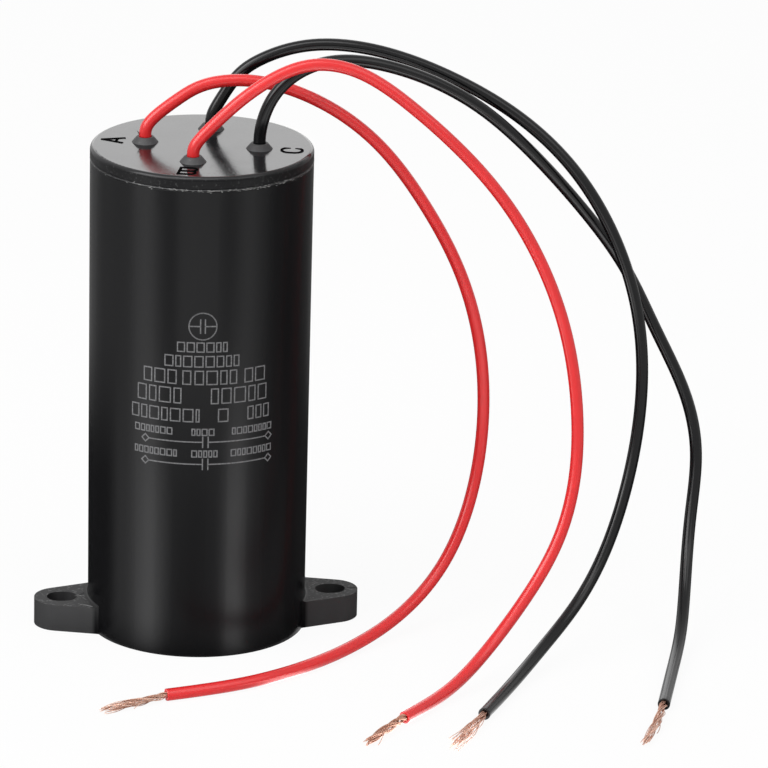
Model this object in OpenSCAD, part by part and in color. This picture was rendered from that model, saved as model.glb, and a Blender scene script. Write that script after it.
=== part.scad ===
// Dual motor run capacitor: two film windings in one moulded can, with a
// glued lid, four flying leads and two slotted mounting ears.
// Millimetres. Origin at the centre of the base, +Z up, +X along the ears.

/* [Case] */
// Outside diameter of the can at its rim
case_d = 45; // [40:0.5:60]
// How much less the can's radius is at its base, for the mould's draft
draft = 0.25; // [0:0.05:0.6]
// Height of the can without its lid
case_h = 98.8; // [75:0.2:150]
// Thickness of the side wall at the base
wall_t = 1.9; // [1.2:0.1:3]
// Thickness of the closed base
base_t = 2.5; // [1.5:0.1:5]
// Chamfer on the rim and on the lid, which together form the seam groove
seam_chamfer = 0.35; // [0.2:0.05:0.8]

/* [Mounting ears] */
// Thickness of the ears, which lie flush with the base
ear_t = 5.6; // [3:0.1:9]
// Distance from the can's base wall out to the middle of each slot
ear_out = 5.45; // [5:0.05:10]
// Width of the screw slots
slot_w = 5.2; // [3.2:0.1:6.5]
// Length of the screw slots, along the ears
slot_l = 6.2; // [6:0.1:8]
// Width of material round the slot's outer end
ear_rim = 2.6; // [1.5:0.1:5]
// Angle by which each side of an ear opens towards the can
ear_flare = 17; // [10:1:25]
// Radius of the fillet between an ear's top and the can
ear_fillet = 0.9; // [0.3:0.1:2]

/* [Lid] */
// Thickness of the lid's edge
lid_t = 2.7; // [2:0.1:5]
// Radius of the lid's top edge
lid_round = 0.9; // [0.3:0.1:1.5]
// Depth of the ring that locates the lid inside the can
spigot_h = 2.5; // [1.5:0.1:3.2]
// Thickness of that ring
spigot_t = 0.9; // [0.7:0.1:1.1]
// Gap between the locating ring and the can's bore
spigot_gap = 0.1; // [0.05:0.05:0.3]
// How far the glue bead stands out of the seam
bead_out = 0.12; // [0.05:0.01:0.4]
// Distance from the rim's outer wall in to the circle of wire bosses
boss_inset = 10.9; // [10.7:0.1:13]
// Angle by which the ring of wire bosses is turned about the can's axis
boss_turn = -15.5; // [-45:0.5:45]
// Diameter of a wire boss where it meets the lid
boss_d = 5.4; // [4.5:0.1:6.5]
// Diameter of a wire boss at its top
boss_top_d = 3.4; // [3.2:0.1:4.4]
// Height of the wire bosses
boss_h = 1.2; // [0.6:0.1:2.5]

/* [Letters] */
// Height of the moulded terminal letters
letter_h = 4.2; // [3:0.1:5]
// Width of the moulded terminal letters
letter_w = 3.3; // [2.4:0.1:4]
// Width of the letters' strokes
stroke_w = 0.5; // [0.3:0.05:0.7]
// How far the letters stand up from the lid
letter_rise = 0.3; // [0.1:0.05:0.5]
// Distance from the rim's outer wall in to the letters' middles
letter_inset = 4.3; // [4:0.1:5.5]

/* [Leads] */
// Outside diameter of the leads' insulation
lead_d = 2.5; // [1.6:0.1:2.8]
// Diameter of the twisted strands in a lead
strand_d = 1.3; // [0.8:0.1:1.4]
// Gap round a lead where it passes through the lid
lead_fit = 0.05; // [0.02:0.01:0.2]
// Straight rise of a lead out of its boss
lead_rise = 2; // [1:0.5:3]
// Bend radius of a lead where it turns in under or over a winding
tail_bend_r = 3; // [2.6:0.1:4]

/* [Windings] */
// Capacitance of the large winding, in microfarads
large_uf = 10; // [6:0.5:20]
// Capacitance of the small winding, in microfarads
small_uf = 4; // [2:0.5:8]
// Thickness of the sprayed zinc on each end of a winding
zinc_t = 0.6; // [0.3:0.1:1]
// Thickness of the tape round each winding
wrap_t = 0.25; // [0.1:0.05:0.5]
// Outside diameter of the tubes that the film is wound on
core_d = 8; // [6:0.5:12]
// Wall of those tubes
core_wall = 1.5; // [0.8:0.1:2]
// Thickness of the insulating disc between the windings
disc_t = 1; // [0.5:0.1:2]
// Gap between a lead and the can's bore
channel_gap = 0.15; // [0.1:0.05:0.5]
// Gap between a lead and the windings that it passes
winding_gap = 0.4; // [0.2:0.05:0.8]
// Gap between a lead's bend and the edge of the winding that it turns round
edge_gap = 0.1; // [0.05:0.01:0.15]
// Gap between a lead and the insulating disc, which ends as far short of the bend
disc_gap = 0.4; // [0.1:0.05:0.8]

/* [Potting] */
// Resin below the lowest lead
foot_gap = 2.3; // [1:0.1:5]
// Resin above the small winding
resin_cover = 4.7; // [3:0.1:10]
// Air between the lid's underside and the first bend of the leads
head_gap = 3.4; // [3.3:0.1:6]
// Air between the last bend of the leads and the resin
skim_gap = 0.45; // [0.2:0.05:2]
// Diameter of a solder joint on the zinc
solder_d = 4.4; // [3:0.1:6]
// Solder over the strands
solder_cover = 0.15; // [0.1:0.05:0.5]
// Distance from the inner end of a lead's bend to its solder joint
solder_reach = 4; // [3:0.1:6]

/* [Hidden] */
$fn = 96;

case_r = case_d / 2;
base_r = case_r - draft;
bore_r = base_r - wall_t;
lead_r = lead_d / 2;
strand_r = strand_d / 2;
boss_r = case_r - boss_inset;
letter_r = case_r - letter_inset;
lid_top = case_h + lid_t;
exit_z = lid_top + boss_h;

// Ears: the round end is concentric with the slot's outer end
slot_x = base_r + ear_out;
ear_end_x = slot_x + (slot_l - slot_w) / 2;
ear_end_r = slot_w / 2 + ear_rim;
ear_root_x = base_r * 2 / 3;

// Leads inside the can: down from the boss, out to the channel beside the
// windings in two quarter turns, down, and in again at the winding's end
channel_r = bore_r - channel_gap - lead_r;
jog_r = (channel_r - boss_r) / 2;
jog_top = case_h - head_gap;
jog_bottom = jog_top - 2 * jog_r;
resin_top = jog_bottom - skim_gap;
tail_end_r = channel_r - tail_bend_r;
solder_x = tail_end_r - solder_reach;

// Height of a lead over a winding's end: the inside of its bend clears the edge
bend_in_r = tail_bend_r - lead_r;
lay_z = tail_bend_r - sqrt(pow(bend_in_r - edge_gap, 2) - pow(bend_in_r - winding_gap, 2));
lay_room = lay_z + lead_r + disc_gap;
solder_h = lay_z + strand_r + solder_cover;

// Windings: both have the same diameter, so their lengths share the room
// between base and lid as their capacitances do
wrap_r = channel_r - lead_r - winding_gap;
film_r = wrap_r - wrap_t;
core_r = core_d / 2;
between_h = 2 * lay_room + disc_t;
large_z = base_t + foot_gap + lead_r + lay_z;
film_total = resin_top - resin_cover - large_z - between_h - 4 * zinc_t;
large_h = film_total * large_uf / (large_uf + small_uf) + 2 * zinc_t;
small_h = film_total * small_uf / (large_uf + small_uf) + 2 * zinc_t;
large_top = large_z + large_h;
small_z = large_top + between_h;
small_top = small_z + small_h;
disc_z = large_top + lay_room;
disc_r = tail_end_r - disc_gap;

// Each lead's place among the four bosses
C_TURN = boss_turn;
D_TURN = boss_turn + 90;
A_TURN = boss_turn + 180;
B_TURN = boss_turn + 270;

// Routes of the free leads after the straight rise out of the boss, down to
// the surface that the can stands on
ROUTE_A = [
    [-9, 3.5, 107], [-4, 4, 110.5], [1, 4.5, 113.5], [12, 4.5, 114], [25, 5, 109],
    [37, 5, 100], [46.5, 5.5, 86.5], [54.5, 5.5, 72], [59, 5.5, 56], [60, 5, 39.5],
    [57.5, 2, 24], [51.5, -3.5, 11.5], [42, -11, 4], [31, -21, 1.25], [19, -32.5, 1.25],
    [5, -41, 1.25], [-11, -45, 1.25]];
ROUTE_B = [
    [-0.5, -11, 107.5], [4, -11, 112], [10, -11, 117], [19.5, -11, 122], [30.5, -11, 120],
    [41, -12, 112], [51, -13, 103], [60.5, -13, 92], [68, -14, 79], [73, -16, 65],
    [75, -19, 50.5], [74.5, -23, 36.5], [70.5, -27.5, 24], [62.5, -32.5, 13.5], [54, -39, 5.5],
    [45.5, -48.5, 1.25], [34.5, -61, 1.25]];
ROUTE_C = [
    [12, -3.5, 109], [14.5, -3.5, 114], [20, -3.5, 118.5], [29, -2, 120], [43, 0, 116],
    [56.5, 2, 108.5], [68, 3.5, 97.5], [78.5, 5, 85.5], [88.5, 5.5, 72.5], [94.5, 4.5, 59],
    [101.5, 2, 46], [104, -1, 33.5], [101.5, -5.5, 21.5], [99.5, -13.5, 10.5], [97, -24.5, 3],
    [92.5, -39, 1.25], [87, -58.5, 1.25]];
ROUTE_D = [
    [5.5, 11.5, 108.5], [8, 11.5, 112.5], [12, 11, 116], [22.5, 10, 120], [37, 9, 118.5],
    [51.5, 7, 113], [65, 4.5, 105.5], [76.5, 2, 95], [85, -0.5, 81], [90, -3, 65.5],
    [91, -5.5, 49.5], [88.5, -9, 33.5], [83.5, -14.5, 19.5], [76.5, -21.5, 9.5],
    [67, -31.5, 3.5], [59, -44.5, 1.25], [50.5, -60.5, 1.25]];

// The bare strands, from the cut insulation to their tips
STRANDS_A = [[-11, -45, 1.25], [-18.5, -48.4, 1], [-25.2, -51.2, 0.8]];
STRANDS_B = [[34.5, -61, 1.25], [29.5, -67, 1], [25, -73, 0.8]];
STRANDS_C = [[87, -58.5, 1.25], [83.5, -69, 1], [79, -78.5, 0.8]];
STRANDS_D = [[50.5, -60.5, 1.25], [46, -69, 1], [41, -77, 0.8]];

SIDES = 8;

BLACK_SATIN = "#222326";
BLACK_GLOSS = "#17181a";
RED_PVC = "#d8282c";
BLACK_PVC = "#26272a";
COPPER = "#c97b4a";
ZINC = "#9aa0a4";
FILM = "#d9dde0";
TAPE = "#e6c84a";
RESIN = "#3a3128";
SOLDER = "#b9bcc0";

// ---------------------------------------------------------------- can

module ear_plan() {
    side = ear_end_r * cos(ear_flare);
    side_x = ear_end_x + ear_end_r * sin(ear_flare);
    root_half = side + (side_x - ear_root_x) * tan(ear_flare);
    translate([ear_end_x, 0]) circle(r = ear_end_r);
    polygon([[side_x, side], [ear_root_x, root_half],
        [ear_root_x, -root_half], [side_x, -side]]);
}

module both_ears() {
    for (turn = [0, 180]) rotate([0, 0, turn]) children();
}

module slot() {
    reach = (slot_l - slot_w) / 2;
    translate([slot_x, 0, -1]) {
        for (side = [-1, 1]) translate([side * reach, 0, 0]) cylinder(d = slot_w, h = ear_t + 2);
        translate([-reach, -slot_w / 2, 0]) cube([2 * reach, slot_w, ear_t + 2]);
    }
}

// A ring round the can at the height of the ears' top, with a hollow profile
module ear_fillet_ring() {
    wall_r = base_r + (case_r - base_r) * ear_t / case_h;
    rotate_extrude() difference() {
        translate([wall_r - wall_t / 2, ear_t]) square([wall_t / 2 + ear_fillet, ear_fillet]);
        translate([wall_r + ear_fillet, ear_t + ear_fillet]) circle(r = ear_fillet);
    }
}

module case() {
    color(BLACK_SATIN) difference() {
        union() {
            rotate_extrude() polygon([[0, 0], [base_r, 0], [case_r, case_h - seam_chamfer],
                [case_r - seam_chamfer, case_h], [0, case_h]]);
            both_ears() linear_extrude(ear_t) ear_plan();
            intersection() {
                ear_fillet_ring();
                both_ears() linear_extrude(ear_t + 2 * ear_fillet) ear_plan();
            }
        }
        translate([0, 0, base_t]) cylinder(r = bore_r, h = case_h);
        both_ears() slot();
    }
}

// ---------------------------------------------------------------- lid

module stroke(from, to) {
    run = to - from;
    translate(from) rotate(atan2(run.y, run.x))
        translate([-stroke_w / 2, -stroke_w / 2]) square([norm(run) + stroke_w, stroke_w]);
}

// Half of a ring on the right of its middle
module half_ring(r) {
    difference() {
        circle(r = r + stroke_w / 2);
        circle(r = r - stroke_w / 2);
        translate([-2 * letter_h, -letter_h]) square([2 * letter_h, 2 * letter_h]);
    }
}

module letter_a() {
    half = letter_w / 2;
    bar = 0.3;
    stroke([-half, 0], [0, letter_h]);
    stroke([half, 0], [0, letter_h]);
    stroke([-half * (1 - bar), letter_h * bar], [half * (1 - bar), letter_h * bar]);
}

module letter_b() {
    r = letter_h / 4;
    left = -letter_w / 2;
    bowl_x = letter_w / 2 - r;
    stroke([left, 0], [left, letter_h]);
    for (y = [0, 2 * r, 4 * r]) stroke([left, y], [bowl_x, y]);
    for (y = [r, 3 * r]) translate([bowl_x, y]) half_ring(r);
}

module letter_c() {
    r = letter_w / 2;
    serif = r * 0.85;
    for (end = [0, 1]) translate([0, end ? letter_h - r : r]) mirror([0, end])
        difference() {
            circle(r = r + stroke_w / 2);
            circle(r = r - stroke_w / 2);
            translate([-2 * r, 0]) square([4 * r, 2 * r]);
            translate([serif, -2 * r]) square([2 * r, 4 * r]);
        }
    translate([-r - stroke_w / 2, r]) square([stroke_w, letter_h - 2 * r]);
}

module letter_d() {
    r = letter_h / 2;
    left = -letter_w / 2;
    bowl_x = letter_w / 2 - r;
    stroke([left, 0], [left, letter_h]);
    for (y = [0, letter_h]) stroke([left, y], [bowl_x, y]);
    translate([bowl_x, r]) half_ring(r);
}

// Puts a letter outside the boss at a turn, its top towards or away from it
module letter_at(turn, top_out) {
    rotate([0, 0, turn]) translate([letter_r, 0, lid_top - lid_t / 2])
        rotate([0, 0, top_out ? -90 : 90]) translate([0, -letter_h / 2, 0])
            linear_extrude(lid_t / 2 + letter_rise) children();
}

module lid() {
    color(BLACK_GLOSS) difference() {
        union() {
            translate([0, 0, case_h]) rotate_extrude() {
                translate([0, seam_chamfer])
                    square([case_r, lid_t - lid_round - seam_chamfer]);
                translate([0, seam_chamfer]) square([case_r - lid_round, lid_t - seam_chamfer]);
                translate([case_r - lid_round, lid_t - lid_round]) circle(r = lid_round);
                polygon([[0, 0], [case_r - seam_chamfer, 0], [case_r, seam_chamfer],
                    [0, seam_chamfer]]);
            }
            for (turn = [A_TURN, B_TURN, C_TURN, D_TURN]) rotate([0, 0, turn])
                translate([boss_r, 0, lid_top])
                    cylinder(d1 = boss_d, d2 = boss_top_d, h = boss_h);
            translate([0, 0, case_h - spigot_h]) difference() {
                cylinder(r = bore_r - spigot_gap, h = spigot_h);
                translate([0, 0, -1]) cylinder(r = bore_r - spigot_gap - spigot_t, h = spigot_h + 1);
            }
            letter_at(A_TURN, true) letter_a();
            letter_at(B_TURN, false) letter_b();
            letter_at(C_TURN, false) letter_c();
            letter_at(D_TURN, true) letter_d();
        }
        for (turn = [A_TURN, B_TURN, C_TURN, D_TURN]) rotate([0, 0, turn])
            translate([boss_r, 0, case_h - 1]) cylinder(r = lead_r + lead_fit, h = lid_t + boss_h + 2);
    }
}

// Glue squeezed out of the groove between rim and lid
module seam_bead() {
    color(BLACK_SATIN) translate([0, 0, case_h]) rotate_extrude()
        polygon([[case_r - seam_chamfer, 0], [case_r, -seam_chamfer],
            [case_r + bead_out, -seam_chamfer / 2], [case_r + bead_out, seam_chamfer / 2],
            [case_r, seam_chamfer]]);
}

// ------------------------------------------------------------ windings

module ring(outer, inner, z, h) {
    translate([0, 0, z]) difference() {
        cylinder(r = outer, h = h);
        translate([0, 0, -1]) cylinder(r = inner, h = h + 2);
    }
}

module winding(z, h) { color(FILM) ring(film_r, core_r, z + zinc_t, h - 2 * zinc_t); }
module core(z, h) { color("white") ring(core_r, core_r - core_wall, z, h); }
module wrap(z, h) { color(TAPE) ring(wrap_r, film_r, z, h); }
module zinc(z) { color(ZINC) ring(film_r, core_r, z, zinc_t); }

module spacer_disc() {
    color("tan") translate([0, 0, disc_z]) cylinder(r = disc_r, h = disc_t);
}

// --------------------------------------------------- leads inside the can

// A quarter turn in the plane through the axis, about a point in that plane
module quarter_turn(at_r, at_z, r, start) {
    translate([at_r, 0, at_z]) rotate([90, 0, 0])
        rotate_extrude(angle = 90, start = start) translate([r, 0]) circle(r = lead_r);
}

module drop(at_r, from, to, r) {
    translate([at_r, 0, to]) cylinder(r = r, h = from - to);
}

// From the boss out to the channel, down it, and in at height z
module side_tail(turn, z) {
    rotate([0, 0, turn]) {
        drop(boss_r, exit_z, jog_top, lead_r);
        quarter_turn(boss_r + jog_r, jog_top, jog_r, 180);
        quarter_turn(boss_r + jog_r, jog_bottom, jog_r, 0);
        drop(channel_r, jog_bottom, z + tail_bend_r, lead_r);
        quarter_turn(tail_end_r, z + tail_bend_r, tail_bend_r, 270);
    }
}

module side_conductor(turn, z) {
    rotate([0, 0, turn]) translate([solder_x, 0, z]) rotate([0, 90, 0])
        cylinder(r = strand_r, h = solder_reach);
}

// A cone of solder on a winding's end, up from it or down
module solder_cone(turn, at_r, z, up) {
    rotate([0, 0, turn]) translate([at_r, 0, z]) mirror([0, 0, up ? 0 : 1])
        cylinder(d1 = solder_d, d2 = solder_d / 2, h = solder_h);
}

b_z = small_z - lay_z;
c_z = large_top + lay_z;
d_z = large_z - lay_z;
a_end_z = small_top + solder_h;

module tail_a() { color(RED_PVC) rotate([0, 0, A_TURN]) drop(boss_r, exit_z, a_end_z, lead_r); }
module tail_b() { color(RED_PVC) side_tail(B_TURN, b_z); }
module tail_c() { color(BLACK_PVC) side_tail(C_TURN, c_z); }
module tail_d() { color(BLACK_PVC) side_tail(D_TURN, d_z); }

module conductor_a() {
    color(COPPER) rotate([0, 0, A_TURN]) drop(boss_r, a_end_z, small_top, strand_r);
}
module conductor_b() { color(COPPER) side_conductor(B_TURN, b_z); }
module conductor_c() { color(COPPER) side_conductor(C_TURN, c_z); }
module conductor_d() { color(COPPER) side_conductor(D_TURN, d_z); }

module solder_a() {
    color(SOLDER) difference() {
        solder_cone(A_TURN, boss_r, small_top, true);
        conductor_a();
    }
}
module solder_b() {
    color(SOLDER) difference() {
        solder_cone(B_TURN, solder_x, small_z, false);
        conductor_b();
    }
}
module solder_c() {
    color(SOLDER) difference() {
        solder_cone(C_TURN, solder_x, large_top, true);
        conductor_c();
    }
}
module solder_d() {
    color(SOLDER) difference() {
        solder_cone(D_TURN, solder_x, large_z, false);
        conductor_d();
    }
}

// -------------------------------------------------------------- potting

// Resin fills the can round everything below its level, and the cores
module potting_resin() {
    color(RESIN) difference() {
        translate([0, 0, base_t]) cylinder(r = bore_r, h = resin_top - base_t);
        ring(wrap_r, core_r - core_wall, large_z, large_h);
        ring(wrap_r, core_r - core_wall, small_z, small_h);
        spacer_disc();
        tail_a();
        tail_b();
        tail_c();
        tail_d();
        side_conductor(B_TURN, b_z);
        side_conductor(C_TURN, c_z);
        side_conductor(D_TURN, d_z);
        solder_cone(A_TURN, boss_r, small_top, true);
        solder_cone(B_TURN, solder_x, small_z, false);
        solder_cone(C_TURN, solder_x, large_top, true);
        solder_cone(D_TURN, solder_x, large_z, false);
    }
}

// ----------------------------------------------------------- free leads

function unit(v) = v / norm(v);
function exit_point(turn) = [boss_r * cos(turn), boss_r * sin(turn), exit_z];
function rise_point(turn) = exit_point(turn) + [0, 0, lead_rise];
function lead_points(turn, route) = concat([exit_point(turn), rise_point(turn)], route);

// A uniform cubic spline that starts and ends on its first and last points
function padded(p) = concat([2 * p[0] - p[1]], p, [2 * p[len(p) - 1] - p[len(p) - 2]]);
function knot(q, i) = (q[i - 1] + 4 * q[i] + q[i + 1]) / 6;
function knot_way(q, i) = unit(q[i + 1] - q[i - 1]);
function knots(p) = let(q = padded(p)) [for (i = [1:len(p)]) knot(q, i)];
function ways(p) = let(q = padded(p)) [for (i = [1:len(p)]) knot_way(q, i)];

// A side direction carried along the route without twisting
function sides_along(way, i, side) = i == len(way) ? [] :
    let(s = unit(side - (side * way[i]) * way[i])) concat([s], sides_along(way, i + 1, s));

function ring_points(at, way, side, r) = let(other = cross(way, side))
    [for (k = [0:SIDES - 1]) at + r * (cos(360 * k / SIDES) * side + sin(360 * k / SIDES) * other)];

module swept_tube(at, way, r, first_side) {
    side = sides_along(way, 0, first_side);
    last = len(at) - 1;
    polyhedron(
        points = [for (i = [0:last]) each ring_points(at[i], way[i], side[i], r[i])],
        faces = concat(
            [[for (k = [0:SIDES - 1]) k]],
            [for (i = [0:last - 1], k = [0:SIDES - 1]) let(n = (k + 1) % SIDES)
                [i * SIDES + k, (i + 1) * SIDES + k, (i + 1) * SIDES + n, i * SIDES + n]],
            [[for (k = [SIDES - 1:-1:0]) last * SIDES + k]]),
        convexity = 10);
}

module free_lead(turn, route) {
    p = lead_points(turn, route);
    swept_tube(knots(p), ways(p), [for (i = p) lead_r], [1, 0, 0]);
}

// Strands start square to the end of the insulation and taper at the tip
module bare_strands(route, points) {
    last = len(route) - 1;
    out = unit(route[last] - route[last - 1]);
    tip = len(points) - 1;
    way = concat([out], [for (i = [1:tip]) unit(points[i] - points[i - 1])]);
    swept_tube(points, way, [for (i = [0:tip]) i == tip ? strand_r * 0.6 : strand_r], [0, 0, 1]);
}

module red_lead_a() { color(RED_PVC) free_lead(A_TURN, ROUTE_A); }
module red_lead_b() { color(RED_PVC) free_lead(B_TURN, ROUTE_B); }
module black_lead_c() { color(BLACK_PVC) free_lead(C_TURN, ROUTE_C); }
module black_lead_d() { color(BLACK_PVC) free_lead(D_TURN, ROUTE_D); }
module strands_a() { color(COPPER) bare_strands(ROUTE_A, STRANDS_A); }
module strands_b() { color(COPPER) bare_strands(ROUTE_B, STRANDS_B); }
module strands_c() { color(COPPER) bare_strands(ROUTE_C, STRANDS_C); }
module strands_d() { color(COPPER) bare_strands(ROUTE_D, STRANDS_D); }

case();
lid();
seam_bead();
potting_resin();
winding(large_z, large_h);  // large_winding
core(large_z, large_h);  // large_core
wrap(large_z, large_h);  // large_wrap
zinc(large_z);  // large_zinc_bottom
zinc(large_top - zinc_t);  // large_zinc_top
winding(small_z, small_h);  // small_winding
core(small_z, small_h);  // small_core
wrap(small_z, small_h);  // small_wrap
zinc(small_z);  // small_zinc_bottom
zinc(small_top - zinc_t);  // small_zinc_top
spacer_disc();
tail_a();
tail_b();
tail_c();
tail_d();
conductor_a();
conductor_b();
conductor_c();
conductor_d();
solder_a();
solder_b();
solder_c();
solder_d();
red_lead_a();
red_lead_b();
black_lead_c();
black_lead_d();
strands_a();
strands_b();
strands_c();
strands_d();
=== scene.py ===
"""Motor run capacitor: its finish, flying leads and studio, laid out as a Blender add-on."""

import math
import random

import bpy
import bmesh
from mathutils import Matrix, Vector, noise


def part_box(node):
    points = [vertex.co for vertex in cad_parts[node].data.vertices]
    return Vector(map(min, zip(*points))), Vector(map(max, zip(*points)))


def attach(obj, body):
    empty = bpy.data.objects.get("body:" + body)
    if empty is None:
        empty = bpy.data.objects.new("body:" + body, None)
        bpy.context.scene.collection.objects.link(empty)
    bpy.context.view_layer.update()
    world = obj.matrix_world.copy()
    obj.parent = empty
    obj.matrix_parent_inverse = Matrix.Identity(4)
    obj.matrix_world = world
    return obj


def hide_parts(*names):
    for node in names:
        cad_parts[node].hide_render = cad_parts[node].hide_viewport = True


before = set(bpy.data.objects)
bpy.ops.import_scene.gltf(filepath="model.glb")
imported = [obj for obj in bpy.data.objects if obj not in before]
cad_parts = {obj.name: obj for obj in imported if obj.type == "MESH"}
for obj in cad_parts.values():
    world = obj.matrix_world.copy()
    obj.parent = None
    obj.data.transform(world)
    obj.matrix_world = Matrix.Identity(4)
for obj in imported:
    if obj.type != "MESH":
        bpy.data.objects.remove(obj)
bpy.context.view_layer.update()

bl_info = {
    "name": "Motor Run Capacitor",
    "version": (1, 0, 0),
    "blender": (4, 5, 0),
    "location": "View3D > Sidebar > Capacitor",
    "description": "Finishes, leads, print and studio for a dual motor run capacitor",
    "category": "Add Mesh",
}

MM = 0.001
BODY = "root"
# Without a seed of its own, noise_vector starts from the clock
NOISE_SEED = 4

# The can, its ears and the lid with its ring of wire bosses, as in the solids; the bosses
# lie within BOSS_REACH, and the letters outside it
CASE_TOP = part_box("case")[1].z
CASE_RIM_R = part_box("lid")[1].x
CASE_BASE_R = CASE_RIM_R - 0.25 * MM
EAR_ROOT_R = 22.8 * MM
SLOT_END = 31.2 * MM
LID_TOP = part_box("lid")[1].z
LID_FACE = LID_TOP - 1.2 * MM
BOSS_RING = 11.6 * MM
BOSS_TURN = math.radians(-15.5)
BOSS_REACH = 15 * MM
LEAD_RISE = 2 * MM
# The letters stand on the lid by this share of their height in the solid, so that the
# openings in them stay clear at a low angle
LETTER_SHARE = 0.4

# Each lead's place on the ring in quarter turns, its insulation, and its route after the
# straight rise out of its boss, in millimetres
LEADS = {
    "a": {"node": "red_lead_a", "quarter": 2, "colour": "red", "route": [
        (-9, 3.5, 107), (-4, 4, 110.5), (1, 4.5, 113.5), (12, 4.5, 114),
        (25, 5, 109), (37, 5, 100), (46.5, 5.5, 86.5), (54.5, 5.5, 72),
        (59, 5.5, 56), (60, 5, 39.5), (57.5, 2, 24), (51.5, -3.5, 11.5),
        (42, -11, 4), (31, -21, 1.25), (19, -32.5, 1.25), (5, -41, 1.25),
        (-11, -45, 1.25)]},
    "b": {"node": "red_lead_b", "quarter": 3, "colour": "red", "route": [
        (-0.5, -11, 107.5), (4, -11, 112), (10, -11, 117), (19.5, -11, 122),
        (30.5, -11, 120), (41, -12, 112), (51, -13, 103), (60.5, -13, 92),
        (68, -14, 79), (73, -16, 65), (75, -19, 50.5), (74.5, -23, 36.5),
        (70.5, -27.5, 24), (62.5, -32.5, 13.5), (54, -39, 5.5), (45.5, -48.5, 1.25),
        (34.5, -61, 1.25)]},
    "c": {"node": "black_lead_c", "quarter": 0, "colour": "black", "route": [
        (12, -3.5, 109), (14.5, -3.5, 114), (20, -3.5, 118.5), (29, -2, 120),
        (43, 0, 116), (56.5, 2, 108.5), (68, 3.5, 97.5), (78.5, 5, 85.5),
        (88.5, 5.5, 72.5), (94.5, 4.5, 59), (101.5, 2, 46), (104, -1, 33.5),
        (101.5, -5.5, 21.5), (99.5, -13.5, 10.5), (97, -24.5, 3), (92.5, -39, 1.25),
        (87, -58.5, 1.25)]},
    "d": {"node": "black_lead_d", "quarter": 1, "colour": "black", "route": [
        (5.5, 11.5, 108.5), (8, 11.5, 112.5), (12, 11, 116), (22.5, 10, 120),
        (37, 9, 118.5), (51.5, 7, 113), (65, 4.5, 105.5), (76.5, 2, 95),
        (85, -0.5, 81), (90, -3, 65.5), (91, -5.5, 49.5), (88.5, -9, 33.5),
        (83.5, -14.5, 19.5), (76.5, -21.5, 9.5), (67, -31.5, 3.5), (59, -44.5, 1.25),
        (50.5, -60.5, 1.25)]},
}

# The bare end of each lead: its line, the ropes that its strands are twisted into and the
# strands in each, the turns that the ropes make, the bundle's width from root to tip in
# millimetres, how flat it lies, how loose and how uneven it ends, its stray hairs, and the
# share of its copper's colour that is still bright
BARE_ENDS = {
    "a": {"line": [(-11, -45, 1.25), (-18.5, -48.4, 1), (-25.2, -51.2, 0.8)],
          "ropes": 3, "strands": 10, "turns": 1.4, "width": (1.0, 1.25, 1.7, 1.9),
          "flat": 1.15, "loose": 0.3, "fray": 0.25, "hairs": 5, "shine": 1.0},
    "b": {"line": [(34.5, -61, 1.25), (29.5, -67, 1), (25, -73, 0.8)],
          "ropes": 3, "strands": 14, "turns": 1.5, "width": (1.15, 1.75, 1.95, 1.6),
          "flat": 1.05, "loose": 0.08, "fray": 0.08, "hairs": 2, "shine": 0.3},
    "c": {"line": [(87, -58.5, 1.25), (83.5, -69, 1), (79, -78.5, 0.8)],
          "ropes": 3, "strands": 9, "turns": 1.5, "width": (1.0, 1.55, 1.7, 1.2),
          "flat": 1.25, "loose": 0.16, "fray": 0.1, "hairs": 2, "shine": 0.8},
    "d": {"line": [(50.5, -60.5, 1.25), (46, -69, 1), (41, -77, 0.8)],
          "ropes": 4, "strands": 7, "turns": 0.5, "width": (0.9, 1.4, 2.5, 2.1),
          "flat": 1.5, "loose": 0.36, "fray": 0.15, "hairs": 4, "shine": 0.75},
}
# Colour of copper that has darkened in the air
TARNISH = (0.36, 0.16, 0.10)
# How deep the strands start in the insulation; shares of the bundle's half width from its
# middle to a rope's and from a rope's to its outer strands; the least height of a strand's
# middle over the floor, in strand radii; and a stray hair's steps, in millimetres
ROOT_DEPTH = 1.6 * MM
ROPE_OUT, STRAND_OUT = 0.58, 0.38
GOLDEN_ANGLE = 2.4
CLEARANCE = 1.1
HAIR_STEPS, HAIR_STEP = 12, 0.45
# Slivers of flash on the ears and by a boss: both ends, width and height in millimetres
FLASH = [
    ((-25.2, 0.3, 5.6), (-22.4, -0.5, 5.6), 0.25, 0.16),
    ((-25, -0.8, 5.6), (-22.6, 2.2, 5.6), 0.22, 0.14),
    ((-24.2, 0.4, 5.6), (-22.5, -3.4, 5.6), 0.22, 0.14),
    ((-24.6, -4.6, 5.6), (-21.6, -6.9, 5.6), 0.4, 0.2),
    ((21.4, -7.4, 5.6), (25.8, -5.4, 5.6), 0.45, 0.22),
    ((-12.3, 2.9, LID_TOP / MM + 0.1), (-12.9, 2.9, LID_TOP / MM + 1.3), 0.5, 0.3),
]

# Rows of generic marks on the can: height of the row's middle and of its marks in
# millimetres, and where its groups start and end in degrees round from the front
PRINT_ROWS = [
    (66.2, 1.9, [(-18, 7.5)]),
    (63.2, 2.2, [(-24.5, 15.5)]),
    (59.8, 2.8, [(-36, -16.5), (-15, -11), (-8.8, 12.8), (17.4, 30)]),
    (55.9, 3.1, [(-39.5, -15), (-0.3, 30)]),
    (51.8, 2.6, [(-43, -6.5), (3.5, 9.3), (19.4, 32.3)]),
    (48.3, 1.3, [(-41, -20), (-10, 1.6), (11, 35)]),
    (43.7, 1.3, [(-41, -18), (-10, 3), (10.5, 36)]),
]
# Heights of the two circuit lines, each with a capacitor's plates between two diamonds
CIRCUIT_ROWS = [46.2, 41.5]
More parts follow.
